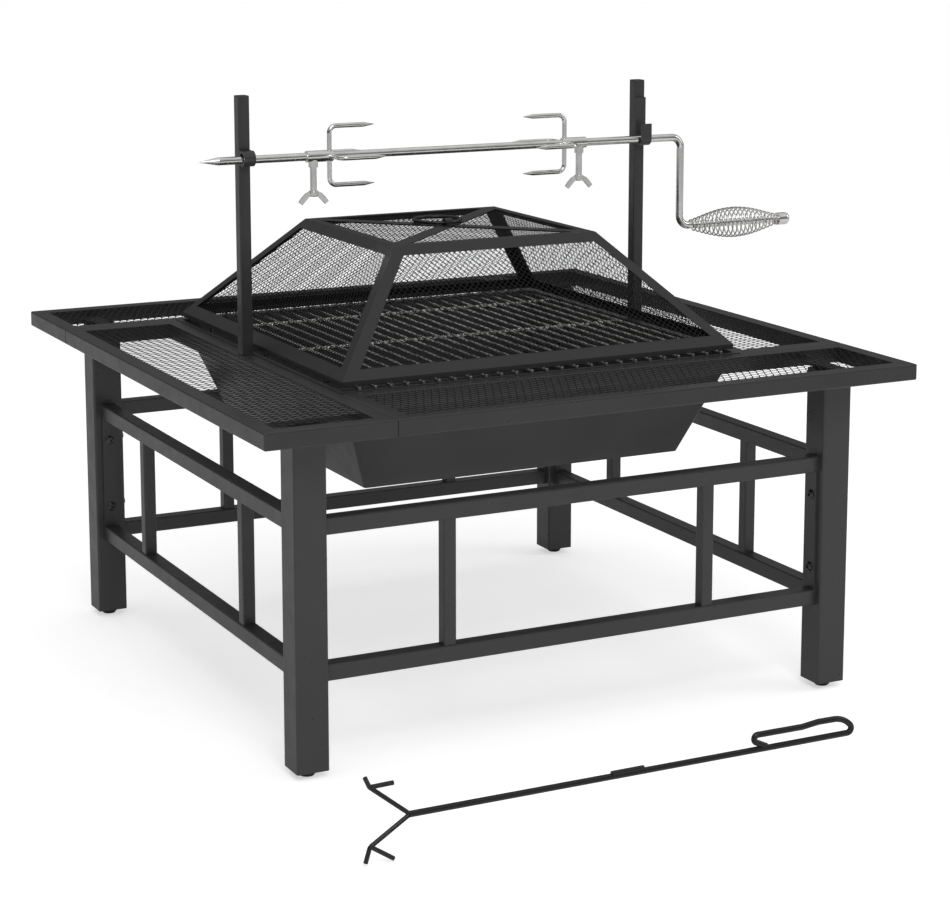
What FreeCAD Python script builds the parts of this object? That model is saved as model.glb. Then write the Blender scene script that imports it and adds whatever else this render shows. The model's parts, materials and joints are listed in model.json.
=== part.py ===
import FreeCAD, Part
import math
import os
import re
from types import SimpleNamespace

# Square fire pit table with a spark-screen lid, a cooking grate, a rotisserie spit on two
# posts and a poker. Millimetres. X runs along the front edge, Y runs to the back and Z is up.
# The origin is on the floor under the centre of the table.

DIMENSIONS = {
    # table top: four equal mesh panels laid like a pinwheel round a square opening
    "table_half": 430.0,
    "table_top": 420.0,
    "panel_width": 158.4,
    "bar_size": 20.0,
    "bar_round": 2.0,
    "bar_inner_round": 1.2,
    "tube_wall": 1.2,
    "mesh_drop": 1.0,
    "mesh_sheet": 1.5,
    "drain_radius": 2.5,
    # legs and feet
    "leg_size": 40.0,
    "leg_round": 3.0,
    "leg_wall": 1.5,
    "leg_inset": 56.5,
    "leg_bottom": 8.0,
    "leg_height": 400.0,
    "strap_width": 20.0,
    "strap_sheet": 3.0,
    "glide_radius": 10.5,
    "glide_base_radius": 8.0,
    "glide_chamfer": 3.0,
    "plug_depth": 14.0,
    "plug_gap": 0.2,
    # ladder frames between the legs
    "rail_size": 20.0,
    "rail_round": 2.0,
    "upper_rail_bottom": 280.0,
    "lower_rail_bottom": 109.5,
    "baluster_size": 16.0,
    "baluster_offset": 175.0,
    "end_plate_sheet": 3.0,
    "bolt_radius": 3.0,
    "bolt_gap": 0.1,
    "bolt_length": 18.0,
    "bolt_head_radius": 6.0,
    "bolt_rim": 1.0,
    "bolt_dome": 2.2,
    "bolt_socket_radius": 2.4,
    "bolt_upper": 250.0,
    "bolt_lower": 157.0,
    # fire bowl
    "bowl_base_half": 217.5,
    "bowl_base": 289.0,
    "bowl_mouth_half": 269.5,
    "bowl_wall_across": 1.6,
    "bowl_sheet": 1.2,
    "bowl_round": 4.0,
    "flange_half": 274.0,
    "flange_sheet": 1.0,
    # log grate in the bowl
    "log_bar_radius": 4.0,
    "log_bar_half": 205.0,
    "log_bar_pitch": 45.0,
    "log_bar_count": 9.0,
    "log_support_offset": 150.0,
    "log_support_half": 185.0,
    "log_leg": 18.0,
    "log_bend": 10.0,
    # cooking grate
    "wire_radius": 2.0,
    "wire_pitch": 20.6,
    "wire_count": 25.0,
    "wire_half": 271.5,
    "cross_rod_radius": 3.0,
    "cross_rod_half": 256.0,
    "cross_rod_offset": 190.0,
    "rest_gap": 0.3,
    # spark-screen lid
    "lid_half": 267.5,
    "lid_edge": 431.5,
    "lid_top_half": 140.0,
    "lid_top": 566.0,
    "lid_sheet_across": 2.1,
    "lid_sheet": 1.5,
    "lid_base_strip_rise": 11.0,
    "lid_top_strip_rise": 11.0,
    "lid_hip_strip_across": 17.0,
    "lid_top_strip": 12.0,
    "lid_mesh_across": 1.6,
    "lid_mesh_sheet": 1.2,
    "cross_strap_width": 20.0,
    "cross_strap_half": 195.0,
    "ring_radius": 30.5,
    "ring_wire_radius": 2.5,
    "clip_bore_radius": 3.8,
    "clip_sheet": 2.0,
    "clip_width": 10.0,
    "clip_foot": 7.0,
    # spit posts, eye and hook
    "post_size": 15.0,
    "post_round": 1.5,
    "post_height": 324.0,
    "post_offset": 281.8,
    "insert_height": 22.0,
    "insert_gap": 0.1,
    "post_screw_radius": 3.0,
    "post_screw_length": 38.0,
    "hook_sheet": 3.0,
    "hook_bore_radius": 6.75,
    "hook_strip_top": 721.0,
    "hook_lip_top": 687.0,
    # rotisserie spit
    "spit_height": 666.0,
    "spit_radius": 5.0,
    "spit_point_end": -346.0,
    "spit_point_length": 26.0,
    "crank_offset": 340.0,
    "crank_drop": 120.0,
    "crank_bend": 14.0,
    "crank_rod_end": 506.0,
    "cap_start": 497.0,
    "cap_end": 515.5,
    "cap_radius": 8.5,
    "grip_start": 357.0,
    "grip_end": 496.5,
    "grip_end_radius": 8.0,
    "grip_middle_radius": 21.0,
    "grip_wall": 0.5,
    # meat forks and their wing screws
    "fork_left_plane": -172.5,
    "fork_right_plane": 162.0,
    "fork_reach": 37.0,
    "prong_radius": 3.0,
    "prong_length": 61.0,
    "prong_point": 14.0,
    "prong_bend": 9.0,
    "sleeve_length": 35.0,
    "sleeve_radius": 7.2,
    "sleeve_gap": 0.1,
    "boss_radius": 6.0,
    "boss_drop": 13.5,
    "screw_setback": 22.0,
    "screw_radius": 4.2,
    "screw_gap": 0.08,
    "screw_drop": 43.0,
    "wing_hub_radius": 6.0,
    "wing_hub_height": 7.0,
    "wing_reach": 18.0,
    "wing_sheet": 2.6,
    # poker
    "poker_radius": 3.5,
    "poker_prong_radius": 2.5,
    "poker_row": -625.0,
    "poker_height": 48.0,
    "poker_fork": -354.0,
    "poker_end": 203.0,
    "poker_loop": 134.0,
    "poker_loop_rise": 17.0,
    "poker_splice_start": 243.0,
    "poker_splice": 40.0,
}

DOC = FreeCAD.newDocument("FirePit")
NAMES = re.compile("|".join(sorted(DIMENSIONS, key=len, reverse=True)))
X_AXIS = FreeCAD.Vector(1, 0, 0)
Y_AXIS = FreeCAD.Vector(0, 1, 0)
Z_AXIS = FreeCAD.Vector(0, 0, 1)
ALONG = {
    "x": FreeCAD.Rotation(Y_AXIS, 90),
    "y": FreeCAD.Rotation(X_AXIS, -90),
    "z": FreeCAD.Rotation(),
}
PARTS = []


# ---------------------------------------------------------------- helpers

def make_sheet():
    """Writes the driving dimensions into a spreadsheet with one alias each."""
    sheet = DOC.addObject("Spreadsheet::Sheet", "Dims")
    for row, (name, value) in enumerate(DIMENSIONS.items(), 1):
        sheet.set(f"A{row}", name)
        sheet.set(f"B{row}", str(value))
        sheet.setAlias(f"B{row}", name)
    DOC.recompute()
    return SimpleNamespace(**{name: float(sheet.get(name)) for name in DIMENSIONS})


def bind(item, prop, expression):
    """Binds a property to an expression of spreadsheet names, such as "table_top - 2"."""
    item.setExpression(prop, NAMES.sub(lambda match: "Dims." + match.group(0), str(expression)))


def place(item, x, y, z):
    for axis, expression in zip("xyz", (x, y, z)):
        bind(item, f"Placement.Base.{axis}", expression)


def box(name, low, size):
    item = DOC.addObject("Part::Box", name)
    for prop, expression in zip(("Length", "Width", "Height"), size):
        bind(item, prop, expression)
    place(item, *low)
    return item


def cylinder(name, axis, start, radius, length):
    item = DOC.addObject("Part::Cylinder", name)
    bind(item, "Radius", radius)
    bind(item, "Height", length)
    item.Placement = FreeCAD.Placement(FreeCAD.Vector(), ALONG[axis])
    place(item, *start)
    return item


def cone(name, axis, start, radius_start, radius_end, length):
    item = DOC.addObject("Part::Cone", name)
    bind(item, "Radius1", radius_start)
    bind(item, "Radius2", radius_end)
    bind(item, "Height", length)
    item.Placement = FreeCAD.Placement(FreeCAD.Vector(), ALONG[axis])
    place(item, *start)
    return item


def frustum(name, low_half, high_half, bottom, top):
    """A square block whose half-width goes from low_half at bottom to high_half at top."""
    item = DOC.addObject("Part::Wedge", name)
    bind(item, "Ymin", bottom)
    bind(item, "Ymax", top)
    for prop in ("Xmin", "Zmin"):
        bind(item, prop, f"-({low_half})")
    for prop in ("Xmax", "Zmax"):
        bind(item, prop, low_half)
    for prop in ("X2min", "Z2min"):
        bind(item, prop, f"-({high_half})")
    for prop in ("X2max", "Z2max"):
        bind(item, prop, high_half)
    item.Placement = FreeCAD.Placement(FreeCAD.Vector(), FreeCAD.Rotation(X_AXIS, 90))
    return item


def cut(name, base, tool):
    item = DOC.addObject("Part::Cut", name)
    item.Base = base
    item.Tool = tool
    return item


def fuse(name, pieces):
    item = DOC.addObject("Part::MultiFuse", name)
    item.Shapes = pieces
    return item


def common(name, base, tool):
    item = DOC.addObject("Part::Common", name)
    item.Base = base
    item.Tool = tool
    return item


def group(name, pieces):
    item = DOC.addObject("Part::Compound", name)
    item.Links = pieces
    return item


def fillet(name, base, radius, wanted):
    """Rounds the edges of base for which wanted(edge) is true."""
    DOC.recompute()
    item = DOC.addObject("Part::Fillet", name)
    item.Base = base
    chosen = [index for index, edge in enumerate(base.Shape.Edges, 1) if wanted(edge)]
    item.Edges = [(index, radius, radius) for index in chosen]
    return item


def runs_along(axis):
    """Tells which edges are straight and parallel to axis."""
    direction = {"x": X_AXIS, "y": Y_AXIS, "z": Z_AXIS}[axis]

    def wanted(edge):
        return abs(edge.tangentAt(edge.FirstParameter).dot(direction)) > 0.999
    return wanted


def tube(name, axis, low, size, corner, wall):
    """A square tube, open at both ends, with rounded long edges."""
    outer = fillet(name + "_outside", box(name + "_bar", low, size), corner, runs_along(axis))
    bore_low = []
    bore_size = []
    for letter, start, length in zip("xyz", low, size):
        ends = letter == axis
        bore_low.append(f"{start} - 1" if ends else f"{start} + {wall}")
        bore_size.append(f"{length} + 2" if ends else f"{length} - 2 * {wall}")
    return cut(name, outer, box(name + "_bore", bore_low, bore_size))


def shape_part(name, shape):
    item = DOC.addObject("Part::Feature", name)
    item.Shape = shape
    return item


def finish(item, label):
    """Marks an object as a sub-part under its own label."""
    item.Label = label
    PARTS.append(item)
    return item


def bent_path(points, bends):
    """Straight runs joined by tangent arcs; bends holds one radius for each inner point."""
    points = [FreeCAD.Vector(*point) for point in points]
    edges = []
    start = points[0]
    for before, corner, after, bend in zip(points, points[1:], points[2:], bends):
        back = (before - corner).normalize()
        ahead = (after - corner).normalize()
        half_turn = (math.pi - back.getAngle(ahead)) / 2
        reach = bend * math.tan(half_turn)
        middle_way = (back + ahead).normalize()
        centre = corner + middle_way * (bend / math.cos(half_turn))
        arc_start = corner + back * reach
        arc_end = corner + ahead * reach
        arc_middle = centre - middle_way * bend
        if (arc_start - start).Length > 1e-6:
            edges.append(Part.LineSegment(start, arc_start).toShape())
        edges.append(Part.Arc(arc_start, arc_middle, arc_end).toShape())
        start = arc_end
    edges.append(Part.LineSegment(start, points[-1]).toShape())
    return Part.Wire(edges)


def bent_rod(points, bends, radius):
    """A round rod along straight runs joined by arcs."""
    path = bent_path(points, bends)
    start = FreeCAD.Vector(*points[0])
    direction = FreeCAD.Vector(*points[1]) - start
    ring = Part.Wire([Part.makeCircle(radius, start, direction)])
    return path.makePipeShell([ring], True, False)


# ---------------------------------------------------------------- table top

PANELS = {
    "left": ("-table_half", "-table_half", "panel_width", "panel_length"),
    "back": ("-table_half", "opening_half", "panel_length", "panel_width"),
    "right": ("opening_half", "-opening_half", "panel_width", "panel_length"),
    "front": ("-opening_half", "-table_half", "panel_length", "panel_width"),
}
DERIVED = {
    "panel_length": "(2 * table_half - panel_width)",
    "opening_half": "(table_half - panel_width)",
    "leg_centre": "(table_half - leg_inset - leg_size / 2)",
    "leg_top": "(leg_bottom + leg_height)",
    "spit_row": "(-post_size / 2 - hook_sheet - hook_bore_radius)",
    "wire_height": "(table_top + flange_sheet + rest_gap + wire_radius)",
    "skirt_bottom": "(table_top + flange_sheet + 2 * rest_gap + 2 * wire_radius)",
    "ring_height": "(lid_top + ring_wire_radius + 0.7)",
}


def spell(expression):
    """Writes derived names, such as opening_half, out in spreadsheet names."""
    for name, meaning in DERIVED.items():
        expression = expression.replace(name, meaning)
    return expression


def on_opening_edge(side, dims):
    """Tells which top edges belong to the mesh window of a panel frame."""
    def wanted(edge):
        middle = edge.CenterOfMass
        bounds = edge.BoundBox
        flat = bounds.ZLength < 1e-6 and abs(middle.z - dims.table_top) < 1e-6
        low = [dims.window[side][0], dims.window[side][1]]
        high = [low[0] + dims.window[side][2], low[1] + dims.window[side][3]]
        inside_x = low[0] - 1e-3 <= middle.x <= high[0] + 1e-3
        inside_y = low[1] - 1e-3 <= middle.y <= high[1] + 1e-3
        return flat and inside_x and inside_y
    return wanted


def panel_frame(side, dims):
    """A welded tube frame, hollow all round, with holes in its underside."""
    low_x, low_y, size_x, size_y = [spell(text) for text in PANELS[side]]
    bottom = "table_top - bar_size"
    name = f"panel_frame_{side}"
    outer = box(name + "_block", (low_x, low_y, bottom), (size_x, size_y, "bar_size"))
    outer = fillet(name + "_outside", outer, dims.bar_round, lambda edge: True)
    window = box(
        name + "_window",
        (f"{low_x} + bar_size", f"{low_y} + bar_size", f"{bottom} - 1"),
        (f"{size_x} - 2 * bar_size", f"{size_y} - 2 * bar_size", "bar_size + 2"),
    )
    ring = cut(name + "_ring", outer, window)
    ring = fillet(name + "_eased", ring, dims.bar_inner_round, on_opening_edge(side, dims))
    hollow = cut(
        name + "_hollow",
        box(
            name + "_hollow_block",
            (f"{low_x} + tube_wall", f"{low_y} + tube_wall", f"{bottom} + tube_wall"),
            (f"{size_x} - 2 * tube_wall", f"{size_y} - 2 * tube_wall", "bar_size - 2 * tube_wall"),
        ),
        box(
            name + "_hollow_core",
            (f"{low_x} + bar_size - tube_wall", f"{low_y} + bar_size - tube_wall", bottom),
            (
                f"{size_x} - 2 * bar_size + 2 * tube_wall",
                f"{size_y} - 2 * bar_size + 2 * tube_wall",
                "bar_size",
            ),
        ),
    )
    frame = cut(name + "_tubes", ring, hollow)
    if side in ("left", "right"):
        across = "-post_offset" if side == "left" else "post_offset"
        start = (across, "0", f"{bottom} - 1")
        hole = cylinder(name + "_screw_hole", "z", start, "post_screw_radius + bolt_gap", "bar_size + 2")
    else:
        start = ("0", f"{low_y} + bar_size / 2", f"{bottom} - 1")
        hole = cylinder(name + "_drain", "z", start, "drain_radius", "bar_size / 2")
    finish(cut(name, frame, hole), name)


def panel_mesh(side):
    """The flat sheet of expanded metal inside a panel frame."""
    low_x, low_y, size_x, size_y = [spell(text) for text in PANELS[side]]
    item = box(
        f"panel_mesh_{side}",
        (f"{low_x} + bar_size", f"{low_y} + bar_size", "table_top - mesh_drop - mesh_sheet"),
        (f"{size_x} - 2 * bar_size", f"{size_y} - 2 * bar_size", "mesh_sheet"),
    )
    finish(item, f"panel_mesh_{side}")


# ---------------------------------------------------------------- legs and ladder frames

LEGS = {
    "front_left": (-1, -1),
    "front_right": (1, -1),
    "back_left": (-1, 1),
    "back_right": (1, 1),
}
SIDES = {"front": ("x", -1), "back": ("x", 1), "left": ("y", -1), "right": ("y", 1)}


def leg(place_name, way_x, way_y, dims):
    """A square tube with bolt holes in the two faces that carry the ladder frames."""
    name = f"leg_{place_name}"
    corner_x = spell(f"{way_x} * leg_centre - leg_size / 2")
    corner_y = spell(f"{way_y} * leg_centre - leg_size / 2")
    post = tube(
        name + "_tube", "z",
        (corner_x, corner_y, "leg_bottom"),
        ("leg_size", "leg_size", "leg_height"),
        dims.leg_round, "leg_wall",
    )
    holes = []
    for height in ("bolt_upper", "bolt_lower"):
        for axis, way in (("x", way_x), ("y", way_y)):
            start = {"x": spell(f"{way_x} * leg_centre"), "y": spell(f"{way_y} * leg_centre")}
            if way > 0:
                start[axis] = start[axis] + " - leg_size / 2 - 1"
            else:
                start[axis] = start[axis] + " + leg_size / 2 - leg_wall - 1"
            holes.append(cylinder(
                f"{name}_{height}_{axis}", axis, (start["x"], start["y"], height),
                "bolt_radius + bolt_gap", "leg_wall + 2",
            ))
    finish(cut(name, post, group(name + "_holes", holes)), name)


def foot(place_name, way_x, way_y):
    """A moulded glide with a square plug that closes the foot of a leg."""
    name = f"foot_{place_name}"
    x = spell(f"{way_x} * leg_centre")
    y = spell(f"{way_y} * leg_centre")
    plug_size = "leg_size - 2 * leg_wall - 2 * plug_gap"
    pieces = [
        cone(name + "_base", "z", (x, y, "0"), "glide_base_radius", "glide_radius", "glide_chamfer"),
        cylinder(name + "_glide", "z", (x, y, "glide_chamfer"), "glide_radius",
                 "leg_bottom - glide_chamfer"),
        box(name + "_plug",
            (f"{x} - ({plug_size}) / 2", f"{y} - ({plug_size}) / 2", "leg_bottom"),
            (plug_size, plug_size, "plug_depth")),
    ]
    finish(fuse(name, pieces), name)


def leg_straps():
    """A flat strap on each leg's top, welded between the two long tubes of the panel over it."""
    straps = []
    for place_name, (way_x, way_y) in LEGS.items():
        along_x = way_x == way_y
        way = way_x if along_x else way_y
        inner = "bar_size - table_half" if way < 0 else "table_half - panel_width + bar_size"
        length = "panel_width - 2 * bar_size"
        side_x = spell(f"{way_x} * leg_centre - strap_width / 2")
        side_y = spell(f"{way_y} * leg_centre - strap_width / 2")
        top = spell("leg_top")
        low = (inner, side_y, top) if along_x else (side_x, inner, top)
        size = (length, "strap_width") if along_x else ("strap_width", length)
        straps.append(box(f"strap_{place_name}", low, (*size, "strap_sheet")))
    finish(group("leg_straps", straps), "leg_straps")


def side_low_size(side, along, along_size, across_size, bottom, height):
    """Corner and size of a box on one side of the table, centred on the legs' row."""
    axis, way = SIDES[side]
    across = spell(f"{way} * leg_centre - ({across_size}) / 2")
    if axis == "x":
        return (along, across, bottom), (along_size, across_size, height)
    return (across, along, bottom), (across_size, along_size, height)


def ladder_frame(side, dims):
    """Two rails, two balusters and two drilled end plates on one side of the table."""
    axis = SIDES[side][0]
    half_span = spell("leg_centre - leg_size / 2 - end_plate_sheet")
    for level in ("upper", "lower"):
        name = f"{level}_rail_{side}"
        low, size = side_low_size(
            side, f"-({half_span})", f"2 * ({half_span})", "rail_size", f"{level}_rail_bottom", "rail_size",
        )
        finish(tube(name, axis, low, size, dims.rail_round, "tube_wall"), name)
    rail_gap = "upper_rail_bottom - lower_rail_bottom - rail_size"
    balusters = []
    for way in (-1, 1):
        low, size = side_low_size(
            side, f"{way} * baluster_offset - baluster_size / 2", "baluster_size", "baluster_size",
            "lower_rail_bottom + rail_size", rail_gap,
        )
        number = len(balusters) + 1
        balusters.append(tube(f"baluster_{side}_{number}", "z", low, size, dims.rail_round, "tube_wall"))
    finish(group(f"balusters_{side}", balusters), f"balusters_{side}")
    plates = []
    for way in (-1, 1):
        along = spell(f"{way} * (leg_centre - leg_size / 2 - end_plate_sheet / 2) - end_plate_sheet / 2")
        low, size = side_low_size(
            side, along, "end_plate_sheet", "rail_size",
            "lower_rail_bottom", "upper_rail_bottom + rail_size - lower_rail_bottom",
        )
        number = len(plates) + 1
        plate = box(f"plate_{side}_{number}", low, size)
        holes = []
        for height in ("bolt_upper", "bolt_lower"):
            start = [f"{low[0]} - 1", f"{low[1]} + rail_size / 2", height]
            if axis == "y":
                start = [f"{low[0]} + rail_size / 2", f"{low[1]} - 1", height]
            holes.append(cylinder(
                f"plate_{side}_{number}_{height}", axis, start,
                "bolt_radius + bolt_gap", "end_plate_sheet + 2",
            ))
        drill = group(f"plate_{side}_{number}_holes", holes)
        plates.append(cut(f"plate_{side}_{number}_drilled", plate, drill))
    finish(group(f"end_plates_{side}", plates), f"end_plates_{side}")


def frame_bolts(dims):
    """Button-head bolts through the end plates into the legs, two at each end of a frame."""
    head = fuse("bolt_body", [
        cylinder("bolt_shank", "z", ("0", "0", "-bolt_length"), "bolt_radius", "bolt_length + 0.5"),
        cylinder("bolt_rim_disc", "z", ("0", "0", "0"), "bolt_head_radius", "bolt_rim"),
        cone("bolt_crown", "z", ("0", "0", "bolt_rim"), "bolt_head_radius", "bolt_head_radius * 0.6",
             "bolt_dome"),
    ])
    socket = DOC.addObject("Part::Prism", "bolt_socket")
    socket.Polygon = 6
    bind(socket, "Circumradius", "bolt_socket_radius")
    bind(socket, "Height", "bolt_dome")
    place(socket, "0", "0", "bolt_rim + 0.2")
    pattern = cut("bolt_pattern", head, socket)
    DOC.recompute()
    face = dims.leg_centre - dims.leg_size / 2 - dims.end_plate_sheet
    bolts = []
    for axis, way_side in SIDES.values():
        for way_end in (-1, 1):
            for height in (dims.bolt_upper, dims.bolt_lower):
                end = way_end * face
                row = way_side * dims.leg_centre
                spot = FreeCAD.Vector(end, row, height) if axis == "x" else FreeCAD.Vector(row, end, height)
                outward = X_AXIS * -way_end if axis == "x" else Y_AXIS * -way_end
                bolt = pattern.Shape.copy()
                bolt.Placement = FreeCAD.Placement(spot, FreeCAD.Rotation(Z_AXIS, outward))
                bolts.append(bolt)
    finish(shape_part("frame_bolts", Part.makeCompound(bolts)), "frame_bolts")


# ---------------------------------------------------------------- bowl and grates

def fire_bowl(dims):
    """A pressed sheet bowl, an upside-down square pyramid, hanging by a narrow flange."""
    def slanted(edge):
        return 0.1 < abs(edge.tangentAt(edge.FirstParameter).z) < 0.999
    outer = frustum("bowl_block", "bowl_base_half", "bowl_mouth_half", "bowl_base", "table_top")
    outer = fillet("bowl_outside", outer, dims.bowl_round, slanted)
    inner = frustum(
        "bowl_space",
        "bowl_base_half - bowl_wall_across", "bowl_mouth_half - bowl_wall_across",
        "bowl_base + bowl_sheet", "table_top",
    )
    inner = fillet("bowl_inside", inner, dims.bowl_round - dims.bowl_sheet, slanted)
    flange = cut(
        "bowl_flange",
        box("bowl_flange_plate", ("-flange_half", "-flange_half", "table_top"),
            ("2 * flange_half", "2 * flange_half", "flange_sheet")),
        box("bowl_flange_hole",
            ("bowl_wall_across - bowl_mouth_half", "bowl_wall_across - bowl_mouth_half", "table_top - 1"),
            ("2 * (bowl_mouth_half - bowl_wall_across)", "2 * (bowl_mouth_half - bowl_wall_across)",
             "flange_sheet + 2")),
    )
    finish(fuse("fire_bowl", [cut("bowl_shell", outer, inner), flange]), "fire_bowl")


def log_grate(dims):
    """Round bars on two bent supports that stand on the floor of the bowl."""
    floor = dims.bowl_base + dims.bowl_sheet
    support_height = floor + dims.log_leg + dims.log_bar_radius
    supports = []
    for way in (-1, 1):
        row = way * dims.log_support_offset
        half = dims.log_support_half
        points = [
            (row, -half, floor + dims.rest_gap), (row, -half, support_height),
            (row, half, support_height), (row, half, floor + dims.rest_gap),
        ]
        supports.append(bent_rod(points, [dims.log_bend, dims.log_bend], dims.log_bar_radius))
    finish(shape_part("log_supports", Part.makeCompound(supports)), "log_supports")
    bars = []
    count = int(dims.log_bar_count)
    for index in range(count):
        row = (index - (count - 1) / 2) * dims.log_bar_pitch
        start = FreeCAD.Vector(-dims.log_bar_half, row, support_height + 2 * dims.log_bar_radius)
        bars.append(Part.makeCylinder(dims.log_bar_radius, 2 * dims.log_bar_half, start, X_AXIS))
    finish(shape_part("log_bars", Part.makeCompound(bars)), "log_bars")


def cooking_grate(dims):
    """Straight wires on three cross rods; the wires' ends rest on the bowl's flange."""
    height = dims.wire_height
    count = int(dims.wire_count)
    wires = []
    for index in range(count):
        row = (index - (count - 1) / 2) * dims.wire_pitch
        start = FreeCAD.Vector(row, -dims.wire_half, height)
        wires.append(Part.makeCylinder(dims.wire_radius, 2 * dims.wire_half, start, Y_AXIS))
    finish(shape_part("grate_wires", Part.makeCompound(wires)), "grate_wires")
    rod_height = spell("wire_height - wire_radius - cross_rod_radius")
    rods = []
    for way in (-1, 0, 1):
        start = ("-cross_rod_half", f"{way} * cross_rod_offset", rod_height)
        number = len(rods) + 1
        rods.append(cylinder(f"cross_rod_{number}", "x", start, "cross_rod_radius", "2 * cross_rod_half"))
    finish(group("grate_cross_rods", rods), "grate_cross_rods")


# ---------------------------------------------------------------- lid

def lid_half_at(height):
    """Half-width of the lid's outside at a height, as an expression."""
    return f"(lid_half - (lid_half - lid_top_half) * ({height} - lid_edge) / (lid_top - lid_edge))"


def lid_shell(name, bottom, top, inset, across):
    """The part of the lid's pyramid skin between two heights, set in by inset."""
    outer_low = f"{lid_half_at(bottom)} - ({inset})"
    outer_high = f"{lid_half_at(top)} - ({inset})"
    outer = frustum(name + "_outer", outer_low, outer_high, bottom, top)
    inner = frustum(
        name + "_inner", f"{outer_low} - ({across})", f"{outer_high} - ({across})", bottom, top,
    )
    return cut(name, outer, inner)


def lid_base_frame():
    """The lid's lower edge: an upright skirt with a strip that leans in with the sides."""
    skirt = cut(
        "skirt",
        frustum("skirt_outer", "lid_half", "lid_half", spell("skirt_bottom"), "lid_edge"),
        frustum("skirt_inner", "lid_half - lid_sheet_across", "lid_half - lid_sheet_across",
                spell("skirt_bottom"), "lid_edge"),
    )
    strip = lid_shell("base_strip", "lid_edge", "(lid_edge + lid_base_strip_rise)", "0", "lid_sheet_across")
    finish(fuse("lid_base_frame", [skirt, strip]), "lid_base_frame")


def lid_hips():
    """Four folded strips up the lid's corners."""
    bottom = "(lid_edge + lid_base_strip_rise)"
    top = "(lid_top - lid_top_strip_rise)"
    shell = lid_shell("hip_shell", bottom, top, "0", "lid_sheet_across")
    for axis in ("x", "y"):
        window = DOC.addObject("Part::Wedge", f"hip_window_{axis}")
        bind(window, "Ymin", bottom)
        bind(window, "Ymax", top)
        narrow, wide = ("X", "Z") if axis == "x" else ("Z", "X")
        for prop, height in (("", bottom), ("2", top)):
            bind(window, f"{narrow}{prop}min", f"-({lid_half_at(height)} - lid_hip_strip_across)")
            bind(window, f"{narrow}{prop}max", f"{lid_half_at(height)} - lid_hip_strip_across")
            bind(window, f"{wide}{prop}min", "-lid_half - 10")
            bind(window, f"{wide}{prop}max", "lid_half + 10")
        window.Placement = FreeCAD.Placement(FreeCAD.Vector(), FreeCAD.Rotation(X_AXIS, 90))
        shell = cut(f"hips_cut_{axis}", shell, window)
    finish(shell, "lid_hips")


def lid_top_frame():
    """The lid's upper edge: a leaning strip folded over into a flat square rim."""
    bottom = "(lid_top - lid_top_strip_rise)"
    outer = frustum("top_outer", lid_half_at(bottom), "lid_top_half", bottom, "lid_top")
    inner_top = "(lid_top - lid_sheet)"
    inner = frustum(
        "top_inner",
        f"{lid_half_at(bottom)} - lid_sheet_across", f"{lid_half_at(inner_top)} - lid_sheet_across",
        bottom, inner_top,
    )
    hole = "(lid_top_half - lid_top_strip)"
    width = f"2 * {hole}"
    opening = box("top_opening", (f"-{hole}", f"-{hole}", "lid_top - 5"), (width, width, "10"))
    finish(cut("lid_top_frame", cut("top_shell", outer, inner), opening), "lid_top_frame")


def lid_mesh():
    """Five flat sheets of woven mesh: four leaning sides and the top."""
    bottom = "(lid_edge + 1)"
    top = "(lid_top - lid_sheet - lid_mesh_sheet - 0.3)"
    shell = lid_shell("side_mesh", bottom, top, "lid_sheet_across + 0.1", "lid_mesh_across")
    sheets = []
    for number in range(4):
        sector = DOC.addObject("Part::Wedge", f"mesh_sector_{number}")
        bind(sector, "Ymin", "5")
        bind(sector, "Ymax", "lid_half + 30")
        bind(sector, "Xmin", "-4.8")
        bind(sector, "Xmax", "4.8")
        bind(sector, "X2min", "-lid_half - 29.8")
        bind(sector, "X2max", "lid_half + 29.8")
        for prop in ("Zmin", "Z2min"):
            bind(sector, prop, "lid_edge - 5")
        for prop in ("Zmax", "Z2max"):
            bind(sector, prop, "lid_top + 5")
        sector.Placement = FreeCAD.Placement(FreeCAD.Vector(), FreeCAD.Rotation(Z_AXIS, 90 * number))
        sheets.append(common(f"mesh_side_{number}", shell, sector))
    half = f"({lid_half_at('(lid_top - lid_sheet)')} - lid_sheet_across - 0.1)"
    width = f"2 * {half}"
    sheets.append(box("mesh_top", (f"-{half}", f"-{half}", top), (width, width, "lid_mesh_sheet")))
    finish(group("lid_mesh", sheets), "lid_mesh")


def lid_cross_strap():
    """Two flat straps across the lid's top, flush with its rim and welded into its corners."""
    straps = []
    for angle in (45, -45):
        bar = box(
            f"strap_at_{abs(angle)}_{'left' if angle > 0 else 'right'}",
            ("0", "0", "0"), ("2 * cross_strap_half", "cross_strap_width", "lid_sheet"),
        )
        turn = FreeCAD.Rotation(Z_AXIS, angle)
        bar.Placement = FreeCAD.Placement(FreeCAD.Vector(), turn)
        along = turn.multVec(X_AXIS)
        across = turn.multVec(Y_AXIS)
        place(
            bar,
            f"-cross_strap_half * {along.x:.9f} - cross_strap_width / 2 * {across.x:.9f}",
            f"-cross_strap_half * {along.y:.9f} - cross_strap_width / 2 * {across.y:.9f}",
            "lid_top - lid_sheet",
        )
        straps.append(bar)
    hole = "(lid_top_half - lid_top_strip)"
    width = f"2 * {hole}"
    limit = box("cross_limit", (f"-{hole}", f"-{hole}", "lid_top - 5"), (width, width, "10"))
    finish(common("lid_cross_strap", fuse("cross_bars", straps), limit), "lid_cross_strap")


def lid_ring():
    """A wire ring that lies back on the straps and swings in the clip at the lid's centre."""
    ring = DOC.addObject("Part::Torus", "lid_ring")
    bind(ring, "Radius1", "ring_radius")
    bind(ring, "Radius2", "ring_wire_radius")
    place(ring, "0", "ring_radius", spell("ring_height"))
    finish(ring, "lid_ring")


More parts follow.
